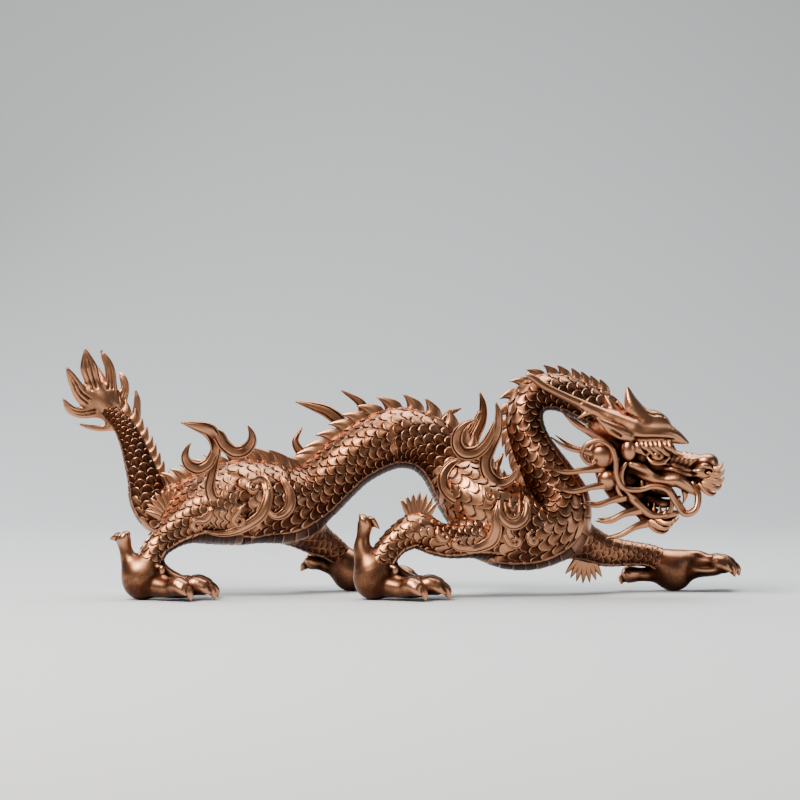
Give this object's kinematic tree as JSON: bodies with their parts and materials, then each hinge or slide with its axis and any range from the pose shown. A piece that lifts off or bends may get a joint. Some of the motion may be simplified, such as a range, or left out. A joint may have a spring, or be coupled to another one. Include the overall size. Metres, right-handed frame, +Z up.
{
  "type": "dragon statue",
  "caption": "Walking dragon cast in one piece, with an arched scaled body, clawed feet, flames on the hips and shoulders and a plumed tail.",
  "frame": {"origin": "on the ground under the middle of the bounding box", "axes": "+X is the way the dragon walks and faces, +Y its left side, +Z up"},
  "size_m": [0.4135, 0.1086, 0.149],
  "materials": {
    "copper": "cast copper alloy with a warm brown patina, rubbed bright on the raised edges"
  },
  "bodies": {
    "root": {"dragon": "copper"}
  },
  "joints": []
}
